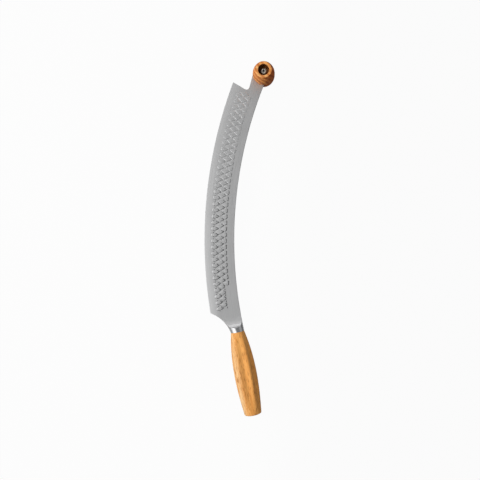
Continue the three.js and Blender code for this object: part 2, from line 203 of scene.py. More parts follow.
def add_points(work: Work, points: Ring, height: float) -> Row:
    """Adds vertices over points of the plan, at one height."""
    return [work.verts.new((*point, height)) for point in points]


def add_strip(work: Work, first: Row, second: Row) -> None:
    """Adds the faces between two rows of equally many vertices, which may share some."""
    for corners in zip(first, first[1:], second[1:], second):
        work.faces.new(list(dict.fromkeys(corners)))


def add_loft(work: Work, rings: list[Ring], finishes: list[int] | None = None,
             dressed: int = 0) -> None:
    """Adds a closed skin through rings of points, with flat ends.

    Args:
        work: mesh that takes the skin.
        rings: rings of equally many points that run the same way round.
        finishes: material index of the faces that start at each point of a ring.
        dressed: number of rows, from the first ring on, that take these indices.
    """
    rows = [[work.verts.new(point) for point in ring] for ring in rings]
    count = len(rows[0])
    for row, (low, high) in enumerate(zip(rows, rows[1:])):
        for i in range(count):
            j = (i + 1) % count
            face = work.faces.new((low[i], low[j], high[j], high[i]))
            face.material_index = finishes[i] if row < dressed else 0
    work.faces.new(rows[0])
    work.faces.new(rows[-1])


def add_turned(work: Work, profile: list[Vector], steps: int,
               finishes: list[int] | None = None) -> None:
    """Adds a profile of radius and height turned about +Z, closed on itself.

    Args:
        work: mesh that takes the skin.
        profile: closed outline in (radius, height); a point on the axis has radius 0.
        steps: number of facets round the axis.
        finishes: material index of the faces that start at each point of the profile.
    """
    turns = [2 * math.pi * k / steps for k in range(steps)]
    rows = []
    for radius, height in profile:
        if radius == 0:
            rows.append([work.verts.new((0, 0, height))] * steps)
        else:
            rows.append([work.verts.new((radius * math.cos(t), radius * math.sin(t), height))
                         for t in turns])
    for i, low in enumerate(rows):
        high = rows[(i + 1) % len(rows)]
        for k in range(steps):
            n = (k + 1) % steps
            corners = list(dict.fromkeys((low[k], low[n], high[n], high[k])))
            if len(corners) > 2:
                work.faces.new(corners).material_index = finishes[i] if finishes else 0


def box_object(low: Vector, high: Vector, finish: int = 0) -> Piece:
    """Makes a plain box to cut with.

    Args:
        low: its lowest corner.
        high: its highest corner.
        finish: material index that the cut takes.

    Returns:
        The box.
    """
    work = bmesh.new()
    bmesh.ops.create_cube(work, size=1)
    for face in work.faces:
        face.material_index = finish
    for vertex in work.verts:
        share = vertex.co + Vector((0.5, 0.5, 0.5))
        vertex.co = Vector(lerp(a, b, s) for a, b, s in zip(low, high, share))
    return object_of("cutter", work)


def combine(piece: Piece, tool: Piece, how: Combining, sharp: float = CRISP_ANGLE) -> None:
    """Joins a tool to a piece or cuts it away, and removes the tool.

    Args:
        piece: object whose mesh is changed.
        tool: object that is joined or cut with, in the same frame.
        how: whether the tool is joined or cut away.
        sharp: edges steeper than this, in degrees, stay crisp.
    """
    for material in piece.data.materials:
        tool.data.materials.append(material)
    modifier = piece.modifiers.new("combine", "BOOLEAN")
    modifier.object = tool
    modifier.operation = how.value
    modifier.solver = "EXACT"
    bpy.context.view_layer.update()
    evaluated = piece.evaluated_get(bpy.context.evaluated_depsgraph_get())
    mesh = bpy.data.meshes.new_from_object(evaluated)
    piece.modifiers.clear()
    piece.data = mesh
    bpy.data.objects.remove(tool)
    shade(piece, sharp)


# Finishes


class Shader:
    """Builder for the nodes of a material or a world."""

    def __init__(self, tree: bpy.types.NodeTree) -> None:
        """Takes the tree that the nodes go into."""
        self.tree = tree

    def node(self, kind: str, settings: dict[str, str] | None = None,
             **inputs: object) -> bpy.types.Node:
        """Adds a node.

        Args:
            kind: its type without the ShaderNode prefix.
            settings: the node's own properties.
            **inputs: values or sockets by input name, with _ for a blank and in_0 for a place.

        Returns:
            The node.
        """
        made = self.tree.nodes.new("ShaderNode" + kind)
        for key, value in (settings or {}).items():
            setattr(made, key, value)
        for key, value in inputs.items():
            place = int(key[3:]) if key.startswith("in_") else key.replace("_", " ")
            self.feed(made.inputs[place], value)
        return made

    def feed(self, socket: Socket, value: object) -> None:
        """Gives an input its value.

        Args:
            socket: the input.
            value: number or colour that it is set to, or socket that it is linked to.
        """
        if isinstance(value, Socket):
            self.tree.links.new(value, socket)
        else:
            socket.default_value = value

    def math(self, operation: str, *values: object) -> Socket:
        """Adds one arithmetic step.

        Args:
            operation: Blender's name for it.
            *values: the numbers or sockets that it takes.

        Returns:
            Its result.
        """
        made = self.node("Math", {"operation": operation})
        for socket, value in zip(made.inputs, values):
            self.feed(socket, value)
        return made.outputs[0]

    def ramp(self, value: Socket, low: float, high: float) -> Socket:
        """Adds a smooth step.

        Args:
            value: the value that it follows.
            low: value at which the step is 0.
            high: value at which it is 1.

        Returns:
            The step.
        """
        made = self.node("MapRange", {"interpolation_type": "SMOOTHSTEP"}, Value=value)
        made.inputs["From Min"].default_value = low
        made.inputs["From Max"].default_value = high
        return made.outputs["Result"]

    def mix(self, share: object, first: object, second: object) -> Socket:
        """Mixes two colours or colour sockets.

        Args:
            share: share of the second one.
            first: colour at share 0.
            second: colour at share 1.

        Returns:
            The colour between them.
        """
        made = self.node("Mix", {"data_type": "RGBA"}, in_0=share)
        for place, value in ((6, first), (7, second)):
            colour = value if isinstance(value, Socket) else (*value, 1)
            self.feed(made.inputs[place], colour)
        return made.outputs[2]

    def noise(self, place: Socket, detail: float = 2) -> Socket:
        """Cloudy value with features about one unit of the place's scale."""
        return self.node("TexNoise", Vector=place, Scale=1.0, Detail=detail).outputs["Fac"]

    def own_place(self) -> Socket:
        """Position in the piece's own frame."""
        return self.node("TexCoord").outputs["Object"]

    def stretched(self, place: Socket, sizes: Sizes, middle: Sizes = (0, 0, 0)) -> Socket:
        """Measures a position in feature sizes.

        Args:
            place: the position.
            sizes: feature size along each axis.
            middle: position from which it is measured.

        Returns:
            The position in these units.
        """
        scale = [1 / size for size in sizes]
        made = self.node("Mapping", Vector=place, Scale=scale)
        made.inputs["Location"].default_value = [-m * k for m, k in zip(middle, scale)]
        return made.outputs[0]

    def blend(self, first: object, second: object, share: float) -> Socket:
        """Sum of two values, weighted with a share of the first and the rest of the second."""
        return self.math("ADD", self.math("MULTIPLY", first, share),
                         self.math("MULTIPLY", second, 1 - share))

    def parts(self, place: Socket) -> list[Socket]:
        """The X, Y and Z parts of a position."""
        return list(self.node("SeparateXYZ", Vector=place).outputs)


class SurfaceShader(Shader):
    """Builder for one new material."""

    def __init__(self, name: str) -> None:
        """Makes the material with its surface node."""
        self.material = bpy.data.materials.new(name)
        self.material.use_nodes = True
        super().__init__(self.material.node_tree)
        self.surface = self.tree.nodes["Principled BSDF"]

    def wear(self, **inputs: object) -> bpy.types.Material:
        """Dresses the surface.

        Args:
            **inputs: values or sockets by input name, with _ for a blank.

        Returns:
            The material.
        """
        for key, value in inputs.items():
            self.feed(self.surface.inputs[key.replace("_", " ")], value)
        return self.material


@dataclass(frozen=True)
class WoodFinish:
    """Oiled wood with growth rings, fibres and pores.

    Attributes:
        name: name of the material.
        axis: axis that the grain runs along.
        light: colour between the rings.
        dark: colour of the rings.
        pore: colour of the pores.
        ring: distance from ring to ring.
        ring_share: how much of the colour follows the rings, from 0 to 1.
        pith: place of the rings' middle across the grain.
        wander: how far the rings stray from round.
        pores: how strongly the pores show.
        roughness: roughness of the oiled surface.
        painted_side_tone: colour that takes the place of the light wood towards one side of the piece:
            painted light on a side that faces the lamp, painted shade on a side away from it.
        painted_side_range: places along the piece's own X axis where that painted colour begins and is
            pure.
        gloss: strength of the surface's reflection.
        tone_size, fibre_size, fleck_size: width and length of clouds, fibres and pores.
        tone_share: how much of the loose grain is clouds; the rest is fibres.
        tone_range, fleck_range: noise levels between which dark wood and pores set in.
        painted_side_wander: how far the border of the painted side tone strays.
        rough_spread: how much the roughness varies from fibre to fibre.
        ring_stretch: how much longer than wide the rings' waves are.
        wander_detail, wander_scale: fineness of the rings' straying.
        relief: depth of fibres and pores.
        fibre_relief: depth of the fibres against the pores.
        bump: how strongly that relief shows.
    """

    name: str
    axis: GrainAxis
    light: Colour
    dark: Colour
    pore: Colour
    ring: float
    ring_share: float
    pith: Sizes
    wander: float
    pores: float
    roughness: float
    painted_side_tone: Colour
    painted_side_range: Span
    gloss: float = 0.15
    tone_size: Span = (7 * MM, 60 * MM)
    fibre_size: Span = (1.1 * MM, 18 * MM)
    fleck_size: Span = (1.3 * MM, 8 * MM)
    tone_share: float = 0.6
    tone_range: Span = (0.36, 0.64)
    fleck_range: Span = (0.54, 0.68)
    painted_side_wander: float = 8 * MM
    rough_spread: float = 0.16
    ring_stretch: float = 12
    wander_detail: float = 2
    wander_scale: float = 0.35
    relief: float = 0.12 * MM
    fibre_relief: float = 0.5
    bump: float = 0.35

    def along(self, width: float, length: float) -> Sizes:
        """Feature sizes of something long.

        Args:
            width: size across the grain.
            length: size along the grain.

        Returns:
            The size along each axis.
        """
        sizes = [width] * 3
        sizes[self.axis.value] = length
        return tuple(sizes)

    def rings(self, shader: Shader, place: Socket) -> Socket:
        """Adds the growth rings about the pith.

        Args:
            shader: builder that takes the nodes.
            place: position in the piece's own frame.

        Returns:
            Darkness of the rings, from 0 to 1.
        """
        sizes = self.along(self.ring, self.ring_stretch * self.ring)
        settings = {"wave_type": "RINGS", "rings_direction": self.axis.name}
        wave = shader.node(
            "TexWave", settings, Vector=shader.stretched(place, sizes, self.pith), Scale=WAVE_UNIT,
            Distortion=self.wander, Detail=self.wander_detail, Detail_Scale=self.wander_scale)
        return wave.outputs["Fac"]

    def material(self) -> bpy.types.Material:
        """Makes the material.

        Returns:
            The material, with all its nodes.
        """
        shader = SurfaceShader(self.name)
        place = shader.own_place()
        tone = shader.noise(shader.stretched(place, self.along(*self.tone_size)))
        fibre = shader.noise(shader.stretched(place, self.along(*self.fibre_size)), detail=3)
        fleck = shader.noise(shader.stretched(place, self.along(*self.fleck_size)))
        cloudy = shader.ramp(shader.blend(tone, fibre, self.tone_share), *self.tone_range)
        depth = shader.blend(self.rings(shader, place), cloudy, self.ring_share)
        pore = shader.math("MULTIPLY", shader.ramp(fleck, *self.fleck_range), self.pores)
        # The side tone is painted light or painted shade, laid along the piece's own X with a wavy
        # border.
        across = shader.parts(place)[0]
        astray = shader.math("SUBTRACT", tone, 0.5)
        wavy = shader.math("MULTIPLY_ADD", astray, self.painted_side_wander, across)
        base = shader.mix(shader.ramp(wavy, *self.painted_side_range), self.light, self.painted_side_tone)
        colour = shader.mix(pore, shader.mix(depth, base, self.dark), self.pore)
        rough = shader.math("MULTIPLY_ADD", fibre, self.rough_spread,
                            self.roughness - self.rough_spread / 2)
        height = shader.math("SUBTRACT", shader.math("MULTIPLY", fibre, self.fibre_relief), pore)
        bump = shader.node("Bump", Strength=self.bump, Distance=self.relief, Height=height)
        return shader.wear(Base_Color=colour, Roughness=rough, Specular_IOR_Level=self.gloss,
                           Normal=bump.outputs[0])


@dataclass(frozen=True)
class SteelFinish:
    """Bare or plated steel with fine working lines.

    Attributes:
        name: name of the material.
        colour: colour of the reflection.
        roughness: middle roughness.
        spread: how much the roughness varies along the lines.
        lines: how the lines run.
        line_width: width of the lines.
        relief: depth of the lines.
        bump: how strongly that relief shows.
        line_stretch: how much longer than wide the lines are.
        metallic: share of bare metal; the rest is dull plating.
        pale: colour that the steel passes into along the piece's own Y axis.
        pale_range: places along that axis where this begins and is complete.
        cloud_size: size of the faint clouds.
        line_share: how much of the wear follows the lines; the rest is clouds.
        wear_range: levels of wear between which the colour passes from dim to full.
        dim_share: brightness of the dimmest lines.
    """

    name: str
    colour: Colour
    roughness: float
    spread: float
    lines: Grinding
    line_width: float = 0.5 * MM
    relief: float = 0.004 * MM
    metallic: float = 1
    bump: float = 0.5
    line_stretch: float = 60
    pale: Colour | None = None
    pale_range: Span = (0, 1)
    cloud_size: Sizes = (16 * MM, 26 * MM, 16 * MM)
    line_share: float = 0.7
    wear_range: Span = (0.3, 0.7)
    dim_share: float = 0.9

    def line_place(self, shader: Shader) -> Socket:
        """Measures the position by the lines.

        Args:
            shader: builder that takes the nodes.

        Returns:
            Position in line widths across the lines and in line lengths along them.
        """
        place = shader.own_place()
        if self.lines is Grinding.POLISHED:
            return shader.stretched(place, (self.line_width,) * 3)
        x, y, z = shader.parts(place)
        level = shader.node("CombineXYZ", X=x, Y=y).outputs[0]
        radius = shader.node("VectorMath", {"operation": "LENGTH"}, in_0=level).outputs["Value"]
        turn = shader.math("ARCTAN2", y, shader.math("MULTIPLY", x, -1))
        run = shader.math("MULTIPLY", turn, radius)
        polar = shader.node("CombineXYZ", X=radius, Y=run, Z=z).outputs[0]
        sizes = (self.line_width, self.line_stretch * self.line_width, self.line_width)
        return shader.stretched(polar, sizes)

    def material(self) -> bpy.types.Material:
        """Makes the material.

        Returns:
            The material, with all its nodes.
        """
        shader = SurfaceShader(self.name)
        place = shader.own_place()
        lines = shader.noise(self.line_place(shader), detail=4)
        cloud = shader.noise(shader.stretched(place, self.cloud_size), detail=3)
        worn = shader.blend(lines, cloud, self.line_share)
        dim = tuple(self.dim_share * part for part in self.colour)
        colour = shader.mix(shader.ramp(worn, *self.wear_range), dim, self.colour)
        if self.pale:
            along = shader.parts(place)[1]
            colour = shader.mix(shader.ramp(along, *self.pale_range), colour, self.pale)
        rough = shader.math("MULTIPLY_ADD", shader.math("SUBTRACT", worn, 0.5), 2 * self.spread,
                            self.roughness)
        bump = shader.node("Bump", Strength=self.bump, Distance=self.relief, Height=lines)
        return shader.wear(Base_Color=colour, Metallic=self.metallic, Roughness=rough,
                           Normal=bump.outputs[0])


BLADE_STEEL = SteelFinish("satin_steel", (0.81, 0.812, 0.815), 0.50, 0.06, Grinding.ALONG_ARC)
# Painted shade for the diamonds' walls that face away from the light; it fades into the satin colour
# towards the tip.
PAD_SHADE_STEEL = SteelFinish("painted_pad_shade_steel", (0.17, 0.17, 0.175), 0.6, 0.06, Grinding.ALONG_ARC,
                           pale=BLADE_STEEL.colour, pale_range=(20 * MM, 150 * MM))
BOLSTER_STEEL = SteelFinish("polished_steel", (0.82, 0.82, 0.83), 0.2, 0.02, Grinding.POLISHED,
                            1.5 * MM, 0.0005 * MM)
SCREW_STEEL = SteelFinish("zinc_plated_steel", (1.0, 0.94, 0.81), 0.36, 0.06, Grinding.TURNED,
                          0.2 * MM, metallic=0.1)
# Near-black steel for the cross recess: a painted shade.
SHADED_RECESS_STEEL = SteelFinish("painted_shade_recess_steel", (0.05, 0.047, 0.042), 0.6, 0.06, Grinding.POLISHED,
                           0.4 * MM)
# The handle's paler tone towards its heel side, which faces the light, is painted light.
HANDLE_WOOD = WoodFinish(
    "pale_handle_wood", GrainAxis.Y, light=(0.91, 0.45, 0.13), dark=(0.71, 0.29, 0.066),
    pore=(0.44, 0.16, 0.032), ring=2.6 * MM, ring_share=0.25, pith=(-31 * MM, 0, -17 * MM), wander=3.0,
    pores=0.75, roughness=0.5, painted_side_tone=(0.85, 0.58, 0.30), painted_side_range=(1 * MM, 11 * MM))
# The knob's paler tone towards its own -X, the side that faces the light, is painted light.
KNOB_WOOD = WoodFinish(
    "figured_knob_wood", GrainAxis.Y, light=(0.72, 0.19, 0.036), dark=(0.36, 0.078, 0.015),
    pore=(0.24, 0.055, 0.010), ring=5 * MM, ring_share=0.6, pith=(-60 * MM, 0, -9 * MM), wander=3.0,
    pores=0.4, roughness=0.45, painted_side_tone=(0.98, 0.41, 0.11), painted_side_range=(1 * MM, -9 * MM))
# A paler copy of the knob's wood for the face that looks up: painted light, paler still towards the
# lit side.
LIT_FACE_WOOD = replace(
    KNOB_WOOD, name="painted_light_face_wood", light=(0.97, 0.48, 0.15), dark=(0.56, 0.16, 0.034),
    pore=(0.40, 0.11, 0.022), ring_share=0.65, painted_side_tone=(0.98, 0.56, 0.21), painted_side_range=(3 * MM, -7 * MM))
# A darker copy of the knob's wood for the counterbore: painted shade in the recess, darker still
# towards its own -X, on the wall away from the light.
SHADED_BORE_WOOD = replace(
    KNOB_WOOD, name="painted_shade_bore_wood", axis=GrainAxis.X, light=(0.24, 0.085, 0.024),
    dark=(0.11, 0.035, 0.010), pore=(0.05, 0.014, 0.004), ring=3.2 * MM, pith=(0, -19 * MM, -9 * MM),
    wander=2.5, roughness=0.7, painted_side_tone=(0.13, 0.045, 0.012), painted_side_range=(2 * MM, -10 * MM), gloss=0.08)


# Plan of the knife


@dataclass
class KnifePlan:
    """The arcs of edge and spine about one centre, and the handle's axis.

    Attributes:
        grip_place: the cross grip's axis in the part's frame.
        middle_height: height of the blade's middle plane.
    """

    grip_place: Vector
    middle_height: float
    edge_radius: float = 560 * MM
    blade_width: float = 37.3 * MM
    tip_angle: float = math.radians(20.8)
    heel_angle: float = math.radians(-9.3)
    heel_arc_radius: float = 43.3 * MM
    heel_to_handle: float = 28.4 * MM
    handle_turn: float = math.radians(1.75)
    root_radius: float = 8.4 * MM
    grip_reach: float = 22.4 * MM
    grip_from_spine: float = 5.3 * MM

    def __post_init__(self) -> None:
        """Works out the places that the sizes lead to."""
        self.spine_radius = self.edge_radius - self.blade_width
        root_arc = self.spine_radius + self.root_radius
        root_angle = self.heel_angle - self.heel_to_handle / root_arc
        self.root = self.on_arc(root_arc, root_angle)
        self.handle_axis = -self.along_arc(root_angle, -self.handle_turn)
        self.handle_side = Vector((self.handle_axis.y, -self.handle_axis.x))
        self.tip_corner = self.on_arc(self.edge_radius, self.tip_angle)
        self.heel_corner = self.on_arc(self.edge_radius, self.heel_angle)
        chord = self.from_handle(0, self.root_radius) - self.heel_corner
        across = Vector((chord.y, -chord.x)).normalized()
        rise = math.sqrt(self.heel_arc_radius ** 2 - chord.length_squared / 4)
        self.heel_arc_centre = self.heel_corner + chord / 2 + across * rise
        grip_arc = self.spine_radius + self.grip_from_spine
        self.grip_angle = self.tip_angle + self.grip_reach / grip_arc
        self.grip = self.on_arc(grip_arc, self.grip_angle)

    @staticmethod
    def on_arc(radius: float, angle: float) -> Vector:
        """Point at a radius and an angle above the level line left of the arcs' centre."""
        return Vector((-radius * math.cos(angle), radius * math.sin(angle)))

    @staticmethod
    def along_arc(angle: float, turn: float = 0) -> Vector:
        """Direction along the arc towards the tip, turned towards the spine."""
        return Vector((math.sin(angle - turn), math.cos(angle - turn)))

    def from_handle(self, along: float, across: float) -> Vector:
        """Point at a place along the handle's axis and a distance to its heel side."""
        return self.root + self.handle_axis * along + self.handle_side * across

    def across_circle(self, along: float, centre: Vector, radius: float, side: int) -> float:
        """Distance across the handle's axis at which a circle is met.

        Args:
            along: place along the axis.
            centre: middle of the circle.
            radius: its radius.
            side: 1 for the circle's heel side, -1 for its other side.

        Returns:
            Distance to the heel side.
        """
        offset = self.from_handle(along, 0) - centre
        middle = offset.dot(self.handle_side)
        return -middle + side * math.sqrt(middle ** 2 - offset.length_squared + radius ** 2)

    def heel_side(self, along: float) -> float:
        """Distance from the handle's axis to the hollow behind the heel."""
        return self.across_circle(along, self.heel_arc_centre, self.heel_arc_radius, -1)

    def spine_side(self, along: float) -> float:
        """Distance from the handle's axis to the spine, which lies to its other side."""
        return self.across_circle(along, Vector((0, 0)), self.spine_radius, 1)

    def blade_frame(self) -> Matrix:
        """Frame about the arcs' centre, in the blade's middle plane."""
        centre = self.grip_place - self.grip
        return Matrix.Translation((*centre, self.middle_height))

    def handle_frame(self) -> Matrix:
        """Frame at the handle's root.

        Returns:
            Frame with +Y down the handle's axis and +X to the heel side.
        """
        turn = math.atan2(-self.handle_axis.x, self.handle_axis.y)
        shift = Matrix.Translation((*self.root, 0))
        return self.blade_frame() @ shift @ Matrix.Rotation(turn, 4, "Z")

    def grip_frame(self, face: Face) -> Matrix:
        """Frame on the cross grip's axis, with +Z out of the given face."""
        place = Matrix.Translation((*self.grip_place, self.middle_height))
        return place if face is Face.FRONT else place @ Matrix.Rotation(math.pi, 4, "X")


# Sub-assemblies


def put(piece: Piece, place: Matrix, node: str, body: str) -> Piece:
    """Places a finished piece and lets it stand for its CAD node.

    Args:
        piece: the object, built in its own frame.
        place: that frame.
        node: CAD node that it stands for.
        body: body that it moves with.

    Returns:
        The piece.
    """
    piece.matrix_world = place
    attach(piece, body)
    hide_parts(node)
    log.info("%s stands for %s: %d faces", piece.name, node, len(piece.data.polygons))
    return piece


@dataclass
class HeelBlank:
    """The round blank of heel and bolster, hollow-ground from the bolster down to the blade."""

    plan: KnifePlan
    blade_thickness: float
    grind_radius: float = 16.1 * MM
    grind_start: float = 19.5 * MM
    side_steps: int = 18
    flat_steps: int = 10

    def ground_height(self, along: float) -> float:
        """Half thickness that the grind leaves at a place along the handle's axis."""
        run = min(max(along + self.grind_start, 0), self.grind_radius)
        return self.blade_thickness / 2 + self.grind_radius - math.sqrt(
            self.grind_radius ** 2 - run ** 2)

    def ring(self, along: float) -> Ring:
        """Section of the ground blank in the handle's frame.

        Args:
            along: place along the handle's axis.

        Returns:
            Points from the heel side over the front, with the ground flats in between.
        """
        heel, spine = self.plan.heel_side(along), self.plan.spine_side(along)
        middle, half = (heel + spine) / 2, (heel - spine) / 2
        full = self.plan.root_radius
        rim = math.asin(min(self.ground_height(along) / full, 1))
        round_part = [lerp(0, rim, k / self.side_steps) for k in range(self.side_steps + 1)]
        reach = half * math.cos(rim)
        flat_part = [lerp(reach, -reach, k / self.flat_steps) for k in range(1, self.flat_steps)]
        top = [(half * math.cos(a), full * math.sin(a)) for a in round_part]
        top += [(across, full * math.sin(rim)) for across in flat_part]
        top += [(-half * math.cos(a), full * math.sin(a)) for a in reversed(round_part)]
        bottom = [(-across, -height) for across, height in top[1:-1]]
        return [Vector((middle + across, along, height)) for across, height in top + bottom]

    def rings(self, start: float, end: float, steps: int) -> list[Ring]:
        """Sections from one place along the axis to another."""
        return [self.ring(lerp(start, end, i / steps)) for i in range(steps + 1)]


@dataclass(frozen=True)
class PadShape:
    """Heights of a raised diamond's low and high side, and the width of its bevel."""

    low: float
    high: float
    bevel: float

    def towards(self, other: "PadShape", share: float) -> "PadShape":
        """Shape at a share of the way to another one."""
        return PadShape(lerp(self.low, other.low, share), lerp(self.high, other.high, share),
                        lerp(self.bevel, other.bevel, share))


@dataclass
class Blade:
    """The plate with its ground edge, embossed band, heel and tang.

    The band's diamonds are faint by the tip and bold by the heel. On the front, the band is narrower
    along the bare stretch by the heel.

    Attributes:
        pad_steps: the diamonds' side, as shares of the bevel's width and of the height.
        shaded_rows: number of these steps whose stretches away from the light take a painted shade.
            near_share, far_share: where these painted shade stretches end, as shares of a diamond's
                side.
        crisp: angle in degrees above which edges stay crisp.
    """

    plan: KnifePlan
    thickness: float = 2.2 * MM
    edge_thickness: float = 0.4 * MM
    bevel_width: float = 7.4 * MM
    eased: float = 0.4 * MM
    step_turn: float = math.radians(10.5)
    neck_turn: float = math.radians(5.5)
    notch_round: float = 6 * MM
    neck_reach: float = 13.1 * MM
    eye_radius: float = 11.5 * MM
    eye_round: float = 4 * MM
    eye_hole: float = 2.8 * MM
    shoulder: float = -10.6 * MM
    tang_width: float = 8 * MM
    tang_length: float = 72 * MM
    band_from_edge: float = 18.3 * MM
    band_width: float = 19.8 * MM
    band_end_margin: float = 9 * MM
    row_pitch: float = 7.65 * MM
    column_pitch: float = 6.7 * MM
    columns_aside: float = 0.6 * MM
    columns: int = 3
    pad_gap: float = 0.4 * MM
    tip_pad: PadShape = PadShape(0.12 * MM, 0.27 * MM, 0.7 * MM)
    heel_pad: PadShape = PadShape(0.35 * MM, 0.75 * MM, 1.15 * MM)
    pad_steps: tuple[Span, ...] = ((0, 0), (0.6, 0.7), (0.85, 0.93), (1.15, 1))
    shaded_rows: int = 2
    near_share: float = 0.6
    far_share: float = 0.55
    pad_root: float = 0.1 * MM
    bare_length: float = 34 * MM
    bare_width: float = 5.6 * MM
    edge_steps: int = 96
    heel_steps: int = 24
    eye_steps: int = 6
    notch_steps: int = 8
    hole_steps: int = 32
    fit_rounds: int = 8
    crisp: float = 8.5

    def __post_init__(self) -> None:
        """Makes the blank that the heel is cut from."""
        self.blank = HeelBlank(self.plan, self.thickness)

    def back(self) -> Ring:
        """Outline of the plate without its cutting edge.

        Returns:
            Points from the heel over tang, spine, eye and neck to the tip.
        """
        plan = self.plan
        origin = Vector((0, 0))
        bevel_radius = plan.edge_radius - self.bevel_width
        heel_low = bearing(plan.heel_corner, plan.heel_arc_centre)
        heel_turn = self.bevel_width / plan.heel_arc_radius
        heel_end = plan.from_handle(self.shoulder, plan.heel_side(self.shoulder))
        heel_high = bearing(heel_end, plan.heel_arc_centre)
        for _ in range(self.fit_rounds):
            reached = on_circle(plan.heel_arc_centre, plan.heel_arc_radius, heel_low - heel_turn)
            heel_turn += (reached.length - bevel_radius) / plan.heel_arc_radius
        points = arc(plan.heel_arc_centre, plan.heel_arc_radius, heel_low - heel_turn, heel_high,
                     self.heel_steps)
        half, tip = self.tang_width / 2, self.tang_length
        for along, across in ((self.shoulder, half), (tip - half / 2, half), (tip, half / 2),
                              (tip, -half / 2), (tip - half / 2, -half), (self.shoulder, -half)):
            points.append(plan.from_handle(along, across))

        spine_end = plan.from_handle(self.shoulder, plan.spine_side(self.shoulder))
        drop = math.sqrt(self.eye_radius ** 2 - plan.grip_from_spine ** 2)
        eye_corner = plan.on_arc(plan.spine_radius, plan.grip_angle - drop / plan.spine_radius)
        spine_top = plan.on_arc(
            plan.spine_radius, plan.grip_angle - (drop + self.eye_round) / plan.spine_radius)
        low = bearing(spine_end, origin) % (2 * math.pi)
        points += arc(origin, plan.spine_radius, low, bearing(spine_top, origin), self.edge_steps)

        neck_up = plan.along_arc(plan.tip_angle, self.neck_turn)
        neck_left = Vector((-neck_up.y, neck_up.x))
        eye_start = bearing(eye_corner, plan.grip) + self.eye_round / self.eye_radius
        eye_end = bearing(neck_left, origin)
        eye = arc(plan.grip, self.eye_radius, eye_start, eye_end, self.heel_steps)
        neck_top = plan.grip + neck_left * self.neck_reach
        points += bend(points[-1], eye_corner, eye[0], self.eye_steps) + eye + [neck_top]

        lean = -(plan.tip_angle + self.step_turn)
        step_in = Vector((math.cos(lean), math.sin(lean)))
        gap = neck_top - plan.tip_corner
        reach = gap.cross(neck_up) / step_in.cross(neck_up)
        notch = plan.tip_corner + step_in * reach
        on_neck = notch + neck_up * self.notch_round
        on_step = notch - step_in * self.notch_round
        points += [on_neck, *bend(on_neck, notch, on_step, self.notch_steps), on_step]
        inward = -plan.tip_corner.dot(step_in)
        height = plan.tip_corner.length_squared - inward ** 2
        points.append(plan.tip_corner + step_in * (inward - math.sqrt(bevel_radius ** 2 - height)))
        return points

    def plate(self) -> Piece:
        """Builds the plain plate with eased edges and bevels ground down to the cutting edge.

        Returns:
            The plate in the blade's frame, with the blade's materials.
        """
        plan = self.plan
        origin = Vector((0, 0))
        back = self.back()
        full_turn = 2 * math.pi
        edge = arc(origin, plan.edge_radius, bearing(plan.tip_corner, origin),
                   bearing(plan.heel_corner, origin) % full_turn, self.edge_steps)
        bevel = arc(origin, plan.edge_radius - self.bevel_width, bearing(back[-1], origin),
                    bearing(back[0], origin) % full_turn, self.edge_steps)
        hole = arc(plan.grip, self.eye_hole, 0, full_turn, self.hole_steps)[:-1]
        inset = self.inset(back)
        half = self.thickness / 2

        work = bmesh.new()
        rims, lows, holes = [], [], []
        for face in Face:
            side = face.value
            flat = add_points(work, inset, side * half)
            rim = [flat[0], *add_points(work, back[1:-1], side * (half - self.eased)), flat[-1]]
            low = add_points(work, edge, side * self.edge_thickness / 2)
            line = [flat[-1], *add_points(work, bevel[1:-1], side * half), flat[0]]
            ring = add_points(work, hole, side * half)
            add_strip(work, rim, flat)
            add_strip(work, low, line)
            border = [work.edges.get((a, b)) or work.edges.new((a, b))
                      for loop in (flat + line[1:-1], ring)
                      for a, b in zip(loop, loop[1:] + loop[:1])]
            bmesh.ops.triangle_fill(work, edges=border, use_beauty=True, normal=(0, 0, side))
            rims.append(rim)
            lows.append(low)
            holes.append(ring + ring[:1])
        walls = [rims, lows, holes]
        walls.append([[rim[-1], low[0]] for rim, low in zip(rims, lows)])
        walls.append([[low[-1], rim[0]] for rim, low in zip(rims, lows)])
        for front, rear in walls:
            add_strip(work, front, rear)
        return object_of("satin_blade", work,
                         materials=[BLADE_STEEL.material(), PAD_SHADE_STEEL.material()])

    def inset(self, outline: Ring) -> Ring:
        """Moves an outline in by the eased edge's width.

        Args:
            outline: the points, with the plate to their left.

        Returns:
            The moved points, with both ends in their old place.
        """
        moved = [outline[0]]
        for before, point, after in zip(outline, outline[1:], outline[2:]):
            run = (after - point).normalized() + (point - before).normalized()
            moved.append(point + Vector((-run.y, run.x)).normalized() * self.eased)
        return [*moved, outline[-1]]

    def pad(self, work: Work, depth: float, angle: float, outer: float, face: Face) -> None:
        """Adds one raised diamond that leans: low towards the edge, high towards the spine.

        Args:
            work: mesh that takes it.
            depth: distance of its middle from the cutting edge.
            angle: its place along the arc.
            outer: depth at which the band ends on the spine's side.
            face: face that it stands on.
        """
        inner = self.band_from_edge - self.band_width / 2
        reach, rise = self.column_pitch, self.row_pitch / 2
        flat = reach * rise / math.hypot(reach, rise)
        low_side = max(depth - reach, inner)
        to_heel = (self.plan.tip_angle - angle) / (self.plan.tip_angle - self.plan.heel_angle)
        shape = self.tip_pad.towards(self.heel_pad, to_heel)
        rings = []
        for drop, height in self.pad_steps:
            inset = drop * shape.bevel
            size = 1 - (self.pad_gap / 2 + inset) / flat
            corners = self.clipped(depth, reach * size, rise * size, inner + inset, outer - inset)
            ring = []
            for across, along in corners:
                spot = self.plan.on_arc(self.plan.edge_radius - across,
                                        angle + along / (self.plan.edge_radius - depth))
                share = (across - low_side) / (depth + reach - low_side)
                top = lerp(shape.low, shape.high, share)
                level = self.thickness / 2 + lerp(-self.pad_root, top, height)
                ring.append(Vector((*spot, face.value * level)))
            rings.append(ring)
